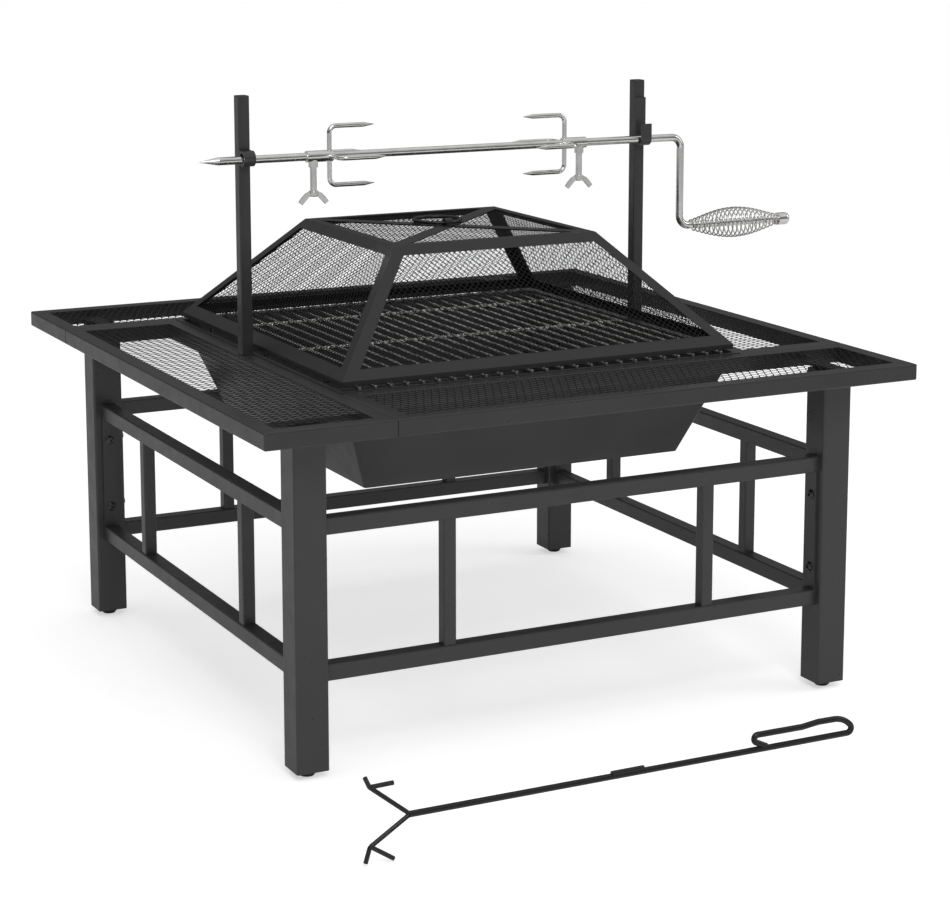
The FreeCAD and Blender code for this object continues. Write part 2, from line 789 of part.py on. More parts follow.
def ring_clip(dims):
    """A small strip arched over the ring, with a foot welded down on each side."""
    height = dims.ring_height
    base = dims.lid_top
    half = dims.clip_width / 2
    bore = dims.clip_bore_radius
    outside = bore + dims.clip_sheet
    arch = Part.makeCylinder(outside, 2 * half, FreeCAD.Vector(-half, 0, height), X_AXIS)
    legs = Part.makeBox(2 * half, 2 * outside, height - base, FreeCAD.Vector(-half, -outside, base))
    foot_half = outside + dims.clip_foot
    feet = Part.makeBox(2 * half, 2 * foot_half, dims.clip_sheet, FreeCAD.Vector(-half, -foot_half, base))
    inner = Part.makeCylinder(bore, 2 * half + 2, FreeCAD.Vector(-half - 1, 0, height), X_AXIS)
    slot = Part.makeBox(2 * half + 2, 2 * bore, height - base + 1, FreeCAD.Vector(-half - 1, -bore, base - 1))
    depth = 4 * foot_half
    below = Part.makeBox(2 * half + 2, depth, 20, FreeCAD.Vector(-half - 1, -depth / 2, base - 20))
    clip = arch.fuse([legs, feet]).cut(inner.fuse(slot)).cut(below).removeSplitter()
    finish(shape_part("ring_clip", clip.Solids[0]), "ring_clip")


# ---------------------------------------------------------------- posts, eye and hook

def post(side, way, dims):
    """A square tube with a closed top, standing on the inner bar of a side panel."""
    name = f"spit_post_{side}"
    low_x = f"{way} * post_offset - post_size / 2"
    low = (low_x, "-post_size / 2", "table_top")
    block = box(name + "_bar", low, ("post_size", "post_size", "post_height"))

    def eased(edge):
        return edge.BoundBox.ZMax > dims.table_top + 1
    outer = fillet(name + "_outside", block, dims.post_round, eased)
    bore = box(
        name + "_bore",
        (f"{low_x} + tube_wall", "-post_size / 2 + tube_wall", "table_top - 1"),
        ("post_size - 2 * tube_wall", "post_size - 2 * tube_wall", "post_height + 1 - 2 * tube_wall"),
    )
    finish(cut(name, outer, bore), name)


def post_fixings():
    """Threaded inserts in the posts' feet and the screws that hold them from below."""
    inserts = []
    screws = []
    for way in (-1, 1):
        x = f"{way} * post_offset"
        size = "post_size - 2 * tube_wall - 2 * insert_gap"
        number = len(inserts) + 1
        block = box(
            f"insert_block_{number}",
            (f"{x} - ({size}) / 2", f"-({size}) / 2", "table_top"), (size, size, "insert_height"),
        )
        hole = cylinder(f"insert_hole_{number}", "z", (x, "0", "table_top - 1"),
                        "post_screw_radius + bolt_gap", "insert_height + 2")
        inserts.append(cut(f"insert_{number}", block, hole))
        under = "table_top - bar_size"
        screws.append(fuse(f"post_screw_{number}", [
            cylinder(f"post_screw_shank_{number}", "z", (x, "0", under), "post_screw_radius",
                     "post_screw_length"),
            cone(f"post_screw_head_{number}", "z", (x, "0", f"{under} - bolt_dome"),
                 "bolt_head_radius * 0.6", "bolt_head_radius", "bolt_dome"),
        ]))
    finish(group("post_inserts", inserts), "post_inserts")
    finish(group("post_screws", screws), "post_screws")


def spit_eye(dims):
    """A strip rolled into a closed eye on the left post; the spit's point passes through it."""
    x = -dims.post_offset
    half = dims.post_size / 2
    centre = FreeCAD.Vector(x - half, dims.spit_row, dims.cradle_height)
    outside = dims.hook_bore_radius + dims.hook_sheet
    roll = Part.makeCylinder(outside, dims.post_size, centre, X_AXIS)
    bore = Part.makeCylinder(
        dims.hook_bore_radius, dims.post_size + 2, centre - X_AXIS, X_AXIS)
    face = -dims.post_size / 2
    tab = Part.makeBox(
        dims.post_size, dims.hook_sheet, 2 * outside,
        FreeCAD.Vector(x - half, face - dims.hook_sheet, dims.cradle_height - outside))
    finish(shape_part("spit_eye", roll.fuse(tab).cut(bore).removeSplitter()), "spit_eye")


def spit_hook(dims):
    """A strip on the right post, bent up at its lower end into an open hook for the spit."""
    half = dims.post_size / 2
    low_x = dims.post_offset - half
    outside = dims.hook_bore_radius + dims.hook_sheet
    centre = FreeCAD.Vector(low_x, dims.spit_row, dims.cradle_height)
    roll = Part.makeCylinder(outside, dims.post_size, centre, X_AXIS)
    below = Part.makeBox(
        dims.post_size, 2 * outside, outside,
        FreeCAD.Vector(low_x, dims.spit_row - outside, dims.cradle_height - outside))
    trough = roll.common(below)
    back = Part.makeBox(
        dims.post_size, dims.hook_sheet, dims.hook_strip_top - dims.cradle_height,
        FreeCAD.Vector(low_x, -half - dims.hook_sheet, dims.cradle_height))
    lip = Part.makeBox(
        dims.post_size, dims.hook_sheet, dims.hook_lip_top - dims.cradle_height,
        FreeCAD.Vector(low_x, dims.spit_row - outside, dims.cradle_height))
    bore = Part.makeCylinder(dims.hook_bore_radius, dims.post_size + 2, centre - X_AXIS, X_AXIS)
    finish(shape_part("spit_hook", trough.fuse([back, lip]).cut(bore).removeSplitter()), "spit_hook")


# ---------------------------------------------------------------- spit

def spit_rod(dims):
    """A pointed round bar whose other end is bent down and out into a crank."""
    row = dims.spit_row
    point_base = dims.spit_point_end + dims.spit_point_length
    points = [
        (point_base, row, dims.spit_height),
        (dims.crank_offset, row, dims.spit_height),
        (dims.crank_offset, row, dims.spit_height - dims.crank_drop),
        (dims.crank_rod_end, row, dims.spit_height - dims.crank_drop),
    ]
    rod = bent_rod(points, [dims.crank_bend, dims.crank_bend], dims.spit_radius)
    point = Part.makeCone(
        0.4, dims.spit_radius, dims.spit_point_length,
        FreeCAD.Vector(dims.spit_point_end, row, dims.spit_height), X_AXIS)
    finish(shape_part("spit_rod", rod.fuse(point).removeSplitter()), "spit_rod")


def crank_cap(dims):
    """A domed cap pressed on the end of the crank."""
    axis = FreeCAD.Vector(dims.cap_start, dims.spit_row, dims.spit_height - dims.crank_drop)
    length = dims.cap_end - dims.cap_start
    barrel = Part.makeCylinder(dims.cap_radius, length, axis, X_AXIS)
    end_edge = max(barrel.Edges, key=lambda edge: edge.CenterOfMass.x)
    domed = barrel.makeFillet(dims.cap_radius * 0.7, [end_edge])
    bore = Part.makeCylinder(dims.spit_radius + 0.05, length / 2, axis, X_AXIS)
    finish(shape_part("crank_cap", domed.cut(bore)), "crank_cap")


def crank_grip(dims):
    """The outline of the barrel-shaped coil that turns on the crank's handle."""
    axis_height = dims.spit_height - dims.crank_drop
    middle = (dims.grip_start + dims.grip_end) / 2

    def outline(inset):
        ends = [
            FreeCAD.Vector(dims.grip_start, dims.spit_row, axis_height + dims.grip_end_radius - inset),
            FreeCAD.Vector(dims.grip_end, dims.spit_row, axis_height + dims.grip_end_radius - inset),
        ]
        top = FreeCAD.Vector(middle, dims.spit_row, axis_height + dims.grip_middle_radius - inset)
        return ends[0], top, ends[1]
    outer = outline(0)
    inner = outline(dims.grip_wall)
    section = Part.Face(Part.Wire([
        Part.Arc(*outer).toShape(),
        Part.LineSegment(outer[2], inner[2]).toShape(),
        Part.Arc(*inner[::-1]).toShape(),
        Part.LineSegment(inner[0], outer[0]).toShape(),
    ]))
    centre = FreeCAD.Vector(middle, dims.spit_row, axis_height)
    finish(shape_part("crank_grip", section.revolve(centre, X_AXIS, 360)), "crank_grip")


def meat_fork(side, dims):
    """A sleeve with a threaded boss below and four bent prongs that point at the other fork."""
    way = 1 if side == "left" else -1
    plane = getattr(dims, f"fork_{side}_plane")
    axis_start = FreeCAD.Vector(plane, dims.spit_row, dims.spit_height)
    outward = X_AXIS * -way
    sleeve_start = axis_start - outward * (dims.prong_radius + 0.6)
    sleeve = Part.makeCylinder(dims.sleeve_radius, dims.sleeve_length, sleeve_start, outward)
    boss_top = FreeCAD.Vector(plane - way * dims.screw_setback, dims.spit_row, dims.spit_height)
    boss = Part.makeCylinder(dims.boss_radius, dims.boss_drop, boss_top, Z_AXIS * -1)
    body = sleeve.fuse(boss)
    root = dims.sleeve_radius - 1.5
    straight_end = dims.prong_length - dims.prong_point
    for angle in range(0, 360, 90):
        points = [
            (plane, 0, root),
            (plane, 0, dims.fork_reach),
            (plane + way * straight_end, 0, dims.fork_reach),
        ]
        prong = bent_rod(points, [dims.prong_bend], dims.prong_radius)
        tip = Part.makeCone(
            dims.prong_radius, 0.4, dims.prong_point,
            FreeCAD.Vector(plane + way * straight_end, 0, dims.fork_reach), X_AXIS * way)
        prong = prong.fuse(tip)
        prong.rotate(FreeCAD.Vector(), X_AXIS, angle)
        prong.translate(FreeCAD.Vector(0, dims.spit_row, dims.spit_height))
        body = body.fuse(prong)
    bore_start = axis_start - outward * 10
    bore = Part.makeCylinder(dims.spit_radius + dims.sleeve_gap, dims.sleeve_length + 20, bore_start, outward)
    thread = Part.makeCylinder(
        dims.screw_radius + dims.screw_gap, dims.boss_drop + 1, boss_top, Z_AXIS * -1)
    name = f"meat_fork_{side}"
    finish(shape_part(name, body.cut(bore).cut(thread).removeSplitter()), name)


def wing_screw(side, dims):
    """A screw that clamps a fork to the spit, with two flared wings below."""
    way = 1 if side == "left" else -1
    x = getattr(dims, f"fork_{side}_plane") - way * dims.screw_setback
    start = FreeCAD.Vector(x, dims.spit_row, dims.spit_height - dims.spit_radius - 0.4)
    bottom = dims.spit_height - dims.screw_drop
    shank = Part.makeCylinder(dims.screw_radius, start.z - bottom, start, Z_AXIS * -1)
    hub = Part.makeCylinder(
        dims.wing_hub_radius, dims.wing_hub_height, FreeCAD.Vector(x, dims.spit_row, bottom), Z_AXIS * -1)
    hub = hub.makeFillet(1.2, [edge for edge in hub.Edges if edge.BoundBox.ZLength < 1e-6])
    body = shank.fuse(hub)
    half_sheet = dims.wing_sheet / 2
    for wing_way in (-1, 1):
        outline = [
            FreeCAD.Vector(0.5, 0, 0.5), FreeCAD.Vector(4.5, 0, -0.2),
            FreeCAD.Vector(11.0, 0, -3.0), FreeCAD.Vector(16.0, 0, -8.0),
            FreeCAD.Vector(20.2, 0, -13.5), FreeCAD.Vector(15.4, 0, -17.2),
            FreeCAD.Vector(10.5, 0, -12.0), FreeCAD.Vector(6.0, 0, -7.2), FreeCAD.Vector(0.5, 0, -6.0),
        ]
        outline = [FreeCAD.Vector(p.x * wing_way * dims.wing_reach / 18, 0, p.z) for p in outline]
        face = Part.Face(Part.makePolygon(outline + outline[:1]))
        wing = face.extrude(Y_AXIS * dims.wing_sheet)
        wing.translate(FreeCAD.Vector(x, dims.spit_row - half_sheet, bottom))
        body = body.fuse(wing)
    finish(shape_part(f"wing_screw_{side}", body.removeSplitter()), f"wing_screw_{side}")


# ---------------------------------------------------------------- poker

def poker(dims):
    """A long rod with a looped handle, a welded splice and a barbed two-armed claw."""
    row = dims.poker_row
    height = dims.poker_height
    fork = dims.poker_fork
    end = dims.poker_end
    top = height + dims.poker_loop_rise
    middle = end - dims.poker_loop / 2
    radius = dims.poker_radius
    rod = bent_rod(
        [
            (fork, row, height), (end + 8.5, row, height - 1), (end - 11.5, row, top + 1),
            (end - 45, row, top + 1.5), (middle, row, top - 1),
        ],
        [5.5, 30, 40], radius)
    loop = bent_rod(
        [
            (middle, row, top - 1), (end - dims.poker_loop - 13, row, top - 0.5),
            (end - dims.poker_loop + 19, row, height + 1.5),
        ],
        [4.5], radius)
    splice = Part.makeCylinder(
        radius - 0.5, dims.poker_splice,
        FreeCAD.Vector(fork + dims.poker_splice_start, row, height + 2.8),
        X_AXIS)
    prong = dims.poker_prong_radius
    body = rod.fuse([loop, splice])
    for elbow_rise, tip_rise, barb_rise in ((37, 48, 37.5), (-28, -44.5, -45)):
        elbow = FreeCAD.Vector(fork - 44, row, height + elbow_rise)
        tip = (fork - 49, row, height + tip_rise)
        arm = bent_rod([(fork + 2, row, height), tuple(elbow), tip], [6], prong)
        barb_start = elbow + FreeCAD.Vector(1.5, 0, 0)
        barb_way = FreeCAD.Vector(fork - 17, row, height + barb_rise) - barb_start
        body = body.fuse([arm, Part.makeCylinder(prong, barb_way.Length, barb_start, barb_way)])
    finish(shape_part("poker", body.removeSplitter()), "poker")


# ---------------------------------------------------------------- assembly

def derive(dims):
    """Adds the sizes that follow from the driving dimensions."""
    for name, meaning in DERIVED.items():
        setattr(dims, name, number_of(meaning, dims))
    dims.cradle_height = dims.spit_height - dims.spit_radius - dims.rest_gap + dims.hook_bore_radius
    dims.window = {}
    for side, texts in PANELS.items():
        low_x, low_y, size_x, size_y = [number_of(spell(text), dims) for text in texts]
        dims.window[side] = (
            low_x + dims.bar_size, low_y + dims.bar_size,
            size_x - 2 * dims.bar_size, size_y - 2 * dims.bar_size,
        )


def number_of(expression, dims):
    """The number that an expression of dimension names stands for."""
    probe = DOC.addObject("Part::Box", "probe")
    bind(probe, "Placement.Base.x", expression)
    DOC.recompute()
    number = probe.Placement.Base.x
    DOC.removeObject(probe.Name)
    return number


def build():
    dims = make_sheet()
    derive(dims)
    for side in PANELS:
        panel_frame(side, dims)
        panel_mesh(side)
    for place_name, (way_x, way_y) in LEGS.items():
        leg(place_name, way_x, way_y, dims)
        foot(place_name, way_x, way_y)
    leg_straps()
    for side in SIDES:
        ladder_frame(side, dims)
    frame_bolts(dims)
    fire_bowl(dims)
    log_grate(dims)
    cooking_grate(dims)
    lid_base_frame()
    lid_hips()
    lid_top_frame()
    lid_mesh()
    lid_cross_strap()
    lid_ring()
    ring_clip(dims)
    for side, way in (("left", -1), ("right", 1)):
        post(side, way, dims)
    post_fixings()
    spit_eye(dims)
    spit_hook(dims)
    spit_rod(dims)
    crank_cap(dims)
    crank_grip(dims)
    for side in ("left", "right"):
        meat_fork(side, dims)
        wing_screw(side, dims)
    poker(dims)
    DOC.recompute()


def check():
    """Stops if any object failed or any sub-part has no valid shape."""
    for item in DOC.Objects:
        if "Invalid" in item.State or "Error" in item.State:
            raise RuntimeError(f"{item.Label} failed: {item.State}")
    for item in PARTS:
        if item.Shape.isNull() or not item.Shape.isValid() or not item.Shape.Solids:
            raise RuntimeError(f"{item.Label} has no valid shape")


def export():
    os.makedirs("parts", exist_ok=True)
    for item in PARTS:
        item.Shape.exportStep(os.path.join("parts", item.Label + ".step"))


build()
check()
export()
print(f"{len(PARTS)} sub-parts written")
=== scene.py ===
import json
import math

import bmesh
import bpy
from mathutils import Matrix, Vector


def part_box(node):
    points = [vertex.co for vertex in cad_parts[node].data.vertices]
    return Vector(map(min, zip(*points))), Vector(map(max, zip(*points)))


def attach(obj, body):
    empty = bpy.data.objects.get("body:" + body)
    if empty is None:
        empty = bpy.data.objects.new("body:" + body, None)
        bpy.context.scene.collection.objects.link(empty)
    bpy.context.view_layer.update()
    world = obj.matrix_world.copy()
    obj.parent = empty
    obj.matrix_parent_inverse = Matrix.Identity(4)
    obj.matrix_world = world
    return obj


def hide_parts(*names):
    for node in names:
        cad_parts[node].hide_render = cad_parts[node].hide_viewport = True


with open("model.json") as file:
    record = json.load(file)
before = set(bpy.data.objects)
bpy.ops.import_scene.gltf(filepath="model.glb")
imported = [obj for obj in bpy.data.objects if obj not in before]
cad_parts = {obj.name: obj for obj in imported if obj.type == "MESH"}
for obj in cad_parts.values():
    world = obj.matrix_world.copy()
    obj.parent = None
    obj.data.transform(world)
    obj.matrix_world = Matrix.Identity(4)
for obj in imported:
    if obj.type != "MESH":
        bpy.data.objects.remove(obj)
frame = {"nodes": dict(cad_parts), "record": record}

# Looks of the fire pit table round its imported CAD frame. Metres; X along the front edge,
# Y to the back, Z up, origin on the floor under the table's centre.

# expanded metal in the four table panels
PANEL_SIDES = ("left", "back", "right", "front")
PANEL_CELL_LONG = 0.0210
PANEL_CELL_SHORT = 0.0099
PANEL_STRAND = 0.0011
PANEL_STRAND_DEPTH = 0.0006
PANEL_STRAND_TILT = 0.0002

# square mesh in the lid, laid on its corners
LID_CELL = 0.0080
LID_STRAND = 0.00085
LID_STRAND_DEPTH = 0.00025

# coil grip on the crank
COIL_WIRE_RADIUS = 0.001
COIL_BORE_RADIUS = 0.0057
COIL_FULLNESS = 1.15
COIL_TURNS = 21
COIL_STEPS_PER_TURN = 28
COIL_WIRE_SIDES = 8

# camera; the sensor and the lens are in millimetres, the shift is in sensor widths
CAMERA_PLACE = Vector((-1.3665, -2.7780, 0.9893))
CAMERA_YAW = math.radians(26.85)
CAMERA_PITCH = math.radians(9.78)
CAMERA_SHIFT = -0.15
CAMERA_REACH = 200
SENSOR_WIDTH = 36.0
LENS_LENGTH = 91.5537

# floor and sky
FLOOR_SIZE = 60.0
FLOOR_DROP = 0.0002
FLOOR_GLOW = 0.55
SKY_AT_HORIZON = 0.06
SKY_AT_ZENITH = 0.75
HORIZON_BAND_TOP = 0.15
WHITE = (1.0, 1.0, 1.0, 1.0)

# noise cells to the metre along and across the drawing marks on steel
DRAWING_MARKS = (60.0, 900.0, 900.0)

# how near a cutting plane a vertex counts as lying on it
CUT_TOLERANCE = 1e-7


# ---------------------------------------------------------------- materials

def start_material(name, metallic, roughness):
    """A node material with its shader, and the object coordinates that drive its grain."""
    material = bpy.data.materials.new(name)
    material.use_nodes = True
    tree = material.node_tree
    shader = tree.nodes["Principled BSDF"]
    shader.inputs["Metallic"].default_value = metallic
    shader.inputs["Roughness"].default_value = roughness
    place = tree.nodes.new("ShaderNodeTexCoord")
    return material, tree, shader, place.outputs["Object"]


def noise(tree, place, scale, detail=3.0):
    """Soft noise, scale of its cells to the metre."""
    node = tree.nodes.new("ShaderNodeTexNoise")
    node.inputs["Scale"].default_value = scale
    node.inputs["Detail"].default_value = detail
    tree.links.new(place, node.inputs["Vector"])
    return node.outputs["Fac"]


def spread(tree, value, low, high, from_low=0.3, from_high=0.7):
    """Maps from_low..from_high, by default a noise's middle range, to low..high."""
    node = tree.nodes.new("ShaderNodeMapRange")
    node.inputs["From Min"].default_value = from_low
    node.inputs["From Max"].default_value = from_high
    node.inputs["To Min"].default_value = low
    node.inputs["To Max"].default_value = high
    tree.links.new(value, node.inputs["Value"])
    return node.outputs["Result"]


def mix_colours(tree, factor, first, second):
    """Mixes two colours, each given as three numbers or as another node's output."""
    node = tree.nodes.new("ShaderNodeMix")
    node.data_type = "RGBA"
    tree.links.new(factor, node.inputs["Factor"])
    for socket, colour in (("A", first), ("B", second)):
        target = [s for s in node.inputs if s.name == socket and s.type == "RGBA"][0]
        if isinstance(colour, bpy.types.NodeSocket):
            tree.links.new(colour, target)
        else:
            target.default_value = (*colour, 1.0)
    return [s for s in node.outputs if s.type == "RGBA"][0]


def mottled(tree, place, scale, colour, factor):
    """A colour that turns in soft blotches into itself times factor."""
    other = tuple(channel * factor for channel in colour)
    return mix_colours(tree, spread(tree, noise(tree, place, scale), 0.0, 1.0), colour, other)


def grey(value):
    """A neutral colour of one brightness."""
    return (value, value, value)


def vary_roughness(tree, shader, grain, roughness, less, more):
    """Lets the roughness wander with a noise, from less below its value to more above it."""
    wander = spread(tree, grain, roughness - less, roughness + more)
    tree.links.new(wander, shader.inputs["Roughness"])


def add_bump(tree, shader, height, strength, distance):
    """Lets a noise stand up to distance high; strength is how much of that shows."""
    node = tree.nodes.new("ShaderNodeBump")
    node.inputs["Strength"].default_value = strength
    node.inputs["Distance"].default_value = distance
    tree.links.new(height, node.inputs["Height"])
    tree.links.new(node.outputs["Normal"], shader.inputs["Normal"])


def edge_mask(tree):
    """Nearly 0 on flats and 1 on sharp outer edges."""
    geometry = tree.nodes.new("ShaderNodeNewGeometry")
    return spread(tree, geometry.outputs["Pointiness"], 0.0, 1.0, from_low=0.52, from_high=0.60)


def coat(name, colour, worn, roughness, specular=0.5):
    """Powder coat or paint: fine orange peel, faint blotches and lighter rubbed edges."""
    material, tree, shader, place = start_material(name, metallic=0.0, roughness=roughness)
    skin = mottled(tree, place, scale=9.0, colour=colour, factor=1.18)
    rubbed = mix_colours(tree, edge_mask(tree), skin, worn)
    tree.links.new(rubbed, shader.inputs["Base Color"])
    sheen = noise(tree, place, scale=45.0)
    vary_roughness(tree, shader, sheen, roughness, less=0.05, more=0.06)
    shader.inputs["Specular IOR Level"].default_value = specular
    peel = noise(tree, place, scale=600.0, detail=2.0)
    add_bump(tree, shader, peel, strength=0.03, distance=0.0004)
    return material


def bright_steel(name, colour, roughness):
    """Plated or polished steel with faint drawing marks along X and dull spots."""
    material, tree, shader, place = start_material(name, metallic=1.0, roughness=roughness)
    stretch = tree.nodes.new("ShaderNodeMapping")
    stretch.inputs["Scale"].default_value = DRAWING_MARKS
    tree.links.new(place, stretch.inputs["Vector"])
    marks = noise(tree, stretch.outputs["Vector"], scale=1.0, detail=4.0)
    spots = mottled(tree, place, scale=60.0, colour=colour, factor=0.82)
    tree.links.new(spots, shader.inputs["Base Color"])
    vary_roughness(tree, shader, marks, roughness, less=0.06, more=0.08)
    add_bump(tree, shader, marks, strength=0.02, distance=0.0002)
    return material


def moulded(name, colour, roughness):
    """Moulded plastic with a fine spark-eroded grain."""
    material, tree, shader, place = start_material(name, metallic=0.0, roughness=roughness)
    shade = mottled(tree, place, scale=30.0, colour=colour, factor=1.3)
    tree.links.new(shade, shader.inputs["Base Color"])
    sheen = noise(tree, place, scale=80.0)
    vary_roughness(tree, shader, sheen, roughness, less=0.08, more=0.08)
    grain = noise(tree, place, scale=1500.0, detail=1.0)
    add_bump(tree, shader, grain, strength=0.25, distance=0.0002)
    return material


def floor_paper():
    """White paper that glows a little. The glow doesn't show in what the object reflects."""
    material, tree, shader, place = start_material("floor_paper", metallic=0.0, roughness=0.9)
    shade = mottled(tree, place, scale=0.7, colour=grey(0.93), factor=0.995)
    tree.links.new(shade, shader.inputs["Base Color"])
    shader.inputs["Specular IOR Level"].default_value = 0.0
    shader.inputs["Emission Color"].default_value = WHITE
    ray = tree.nodes.new("ShaderNodeLightPath")
    glow = spread(tree, ray.outputs["Is Glossy Ray"], FLOOR_GLOW, 0.0, from_low=0.0, from_high=1.0)
    tree.links.new(glow, shader.inputs["Emission Strength"])
    return material


def make_slots():
    """One material for each material slot of the record."""
    return {
        "frame_paint": coat(
            "charcoal_powder_coat", colour=(0.025, 0.025, 0.0254), worn=(0.036, 0.036, 0.0365),
            roughness=0.32),
        "lid_paint": coat(
            "black_lid_paint", colour=grey(0.011), worn=grey(0.020), roughness=0.36),
        "mesh_paint": coat(
            "black_mesh_paint", colour=grey(0.006), worn=grey(0.012), roughness=0.55,
            specular=0.2),
        "bowl_paint": coat(
            "heat_paint", colour=(0.034, 0.034, 0.0345), worn=grey(0.046), roughness=0.34),
        "poker_paint": coat(
            "poker_paint", colour=grey(0.006), worn=grey(0.016), roughness=0.30),
        "bright_wire": bright_steel(
            "bright_steel", colour=(0.90, 0.89, 0.87), roughness=0.22),
        "spit_steel": bright_steel(
            "polished_steel", colour=(0.90, 0.895, 0.88), roughness=0.16),
        "fixing_steel": bright_steel(
            "blackened_steel", colour=grey(0.10), roughness=0.30),
        "glide_plastic": moulded(
            "black_plastic", colour=grey(0.016), roughness=0.5),
    }


# ---------------------------------------------------------------- mesh helpers

def mesh_object(name, made, material, smooth=False):
    """An object of one material from a mesh in the making, which is freed."""
    data = bpy.data.meshes.new(name)
    bmesh.ops.recalc_face_normals(made, faces=made.faces)
    made.to_mesh(data)
    made.free()
    data.materials.append(material)
    for polygon in data.polygons:
        polygon.use_smooth = smooth
    item = bpy.data.objects.new(name, data)
    bpy.context.scene.collection.objects.link(item)
    return item


def joined(parts):
    """One mesh made of several, which are freed."""
    whole = bmesh.new()
    for part in parts:
        data = bpy.data.meshes.new("part")
        part.to_mesh(data)
        part.free()
        whole.from_mesh(data)
        bpy.data.meshes.remove(data)
    return whole


def diamond_sheet(width, depth, cell_x, cell_y, strand_x, strand_y, thickness, tilt=0.0):
    """A sheet of diamond holes centred on the origin, a little bigger than width by depth.

    strand_x and strand_y are how far each hole's corners stand in from its cell's corners. tilt
    lifts one end of each hole along X and lowers the other, as the slitting of the sheet does.
    """
    columns = math.ceil(width / cell_x) + 1
    rows = math.ceil(depth / cell_y) + 1
    made = bmesh.new()
    corners = {}

    def corner(i, j):
        if (i, j) not in corners:
            x, y = i * cell_x / 2, j * cell_y / 2
            corners[i, j] = [made.verts.new((x, y, z)) for z in (-thickness / 2, thickness / 2)]
        return corners[i, j]

    def hole(x, y):
        spots = (
            (x + cell_x / 2 - strand_x, y, tilt), (x, y + cell_y / 2 - strand_y, 0.0),
            (x - cell_x / 2 + strand_x, y, -tilt), (x, y - cell_y / 2 + strand_y, 0.0),
        )
        return [[made.verts.new((px, py, pz + z)) for z in (-thickness / 2, thickness / 2)]
                for px, py, pz in spots]

    for i in range(-columns, columns + 1):
        for j in range(-rows, rows + 1):
            if (i + j) % 2:
                continue
            around = [corner(i + 1, j), corner(i, j + 1), corner(i - 1, j), corner(i, j - 1)]
            inside = hole(i * cell_x / 2, j * cell_y / 2)
            for k in range(4):
                a, b = around[k], around[(k + 1) % 4]
                c, d = inside[(k + 1) % 4], inside[k]
                made.faces.new((a[1], b[1], c[1], d[1]))
                made.faces.new((d[0], c[0], b[0], a[0]))
                made.faces.new((d[1], c[1], c[0], d[0]))
    return made


def trim(made, planes):
    """Cuts away what lies beyond each (point, outward normal) plane and closes the cut ends."""
    for point, normal in planes:
        geometry = made.verts[:] + made.edges[:] + made.faces[:]
        cut = bmesh.ops.bisect_plane(
            made, geom=geometry, plane_co=point, plane_no=normal, clear_outer=True,
            dist=CUT_TOLERANCE)
        rim = [g for g in cut["geom_cut"] if isinstance(g, bmesh.types.BMEdge)]
        bmesh.ops.holes_fill(made, edges=rim, sides=0)


def rectangle(half_x, half_y):
    """The four edge planes of a rectangle round the origin, as trim takes them."""
    return [
        (Vector((x * half_x, y * half_y, 0)), Vector((x, y, 0)))
        for x, y in ((-1, 0), (1, 0), (0, -1), (0, 1))
    ]


def tube_along(path, radius, sides):
    """A closed round tube along a list of points, with flat ends."""
    made = bmesh.new()
    rings = []
    normal = None
    for index, point in enumerate(path):
        before = path[max(index - 1, 0)]
        after = path[min(index + 1, len(path) - 1)]
        ahead = (after - before).normalized()
        if normal is None:
            normal = ahead.orthogonal().normalized()
        normal = (normal - ahead * normal.dot(ahead)).normalized()
        across = ahead.cross(normal)
        rings.append([
            made.verts.new(point + (normal * math.cos(a) + across * math.sin(a)) * radius)
            for a in (2 * math.pi * k / sides for k in range(sides))
        ])
    for first, second in zip(rings, rings[1:]):
        for k in range(sides):
            beside = (k + 1) % sides
            made.faces.new((first[k], first[beside], second[beside], second[k]))
    made.faces.new(rings[0][::-1])
    made.faces.new(rings[-1])
    return made


# ---------------------------------------------------------------- pieces

def panel_sheet(side, material):
    """Expanded metal over one panel's window; the holes' long diagonals run across the panel.

    A strand's half width is measured along each diagonal of a hole.
    """
    low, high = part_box(f"panel_mesh_{side}")
    size = high - low
    along = max(size.x, size.y)
    across = min(size.x, size.y)
    slope = PANEL_CELL_LONG / PANEL_CELL_SHORT
    strand_x = PANEL_STRAND / 2 * math.hypot(1, slope) / slope
    made = diamond_sheet(along, across, PANEL_CELL_SHORT, PANEL_CELL_LONG,
                         strand_x, strand_x * slope, PANEL_STRAND_DEPTH, PANEL_STRAND_TILT)
    trim(made, rectangle(along / 2, across / 2))
    turn = Matrix.Rotation(math.pi / 2, 4, "Z") if size.y > size.x else Matrix.Identity(4)
    made.transform(Matrix.Translation((low + high) / 2) @ turn)
    sheet = mesh_object(f"expanded_metal_{side}", made, material)
    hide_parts(f"panel_mesh_{side}")
    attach(sheet, "table")


def lid_cells(width, depth):
    """A flat sheet of the lid's square mesh, a little bigger than width by depth."""
    inset = LID_STRAND / 2 * math.sqrt(2)
    return diamond_sheet(width, depth, LID_CELL, LID_CELL, inset, inset, LID_STRAND_DEPTH)


def lid_side(half_foot, half_head, foot, head):
    """The lid's front sheet, leaning from half_foot out at height foot to half_head at head."""
    inward = half_foot - half_head
    slant = math.hypot(head - foot, inward)
    made = lid_cells(2 * half_foot, slant)
    side = Vector((slant, inward, 0)).normalized()
    trim(made, [
        (Vector((0, slant / 2, 0)), Vector((0, 1, 0))),
        (Vector((0, -slant / 2, 0)), Vector((0, -1, 0))),
        (Vector((half_foot, -slant / 2, 0)), side),
        (Vector((-half_foot, -slant / 2, 0)), Vector((-side.x, side.y, 0))),
    ])
    middle = Vector((0, -(half_foot + half_head) / 2, (foot + head) / 2))
    lean = math.atan2(head - foot, inward)
    made.transform(Matrix.Translation(middle) @ Matrix.Rotation(lean, 4, "X"))
    return made


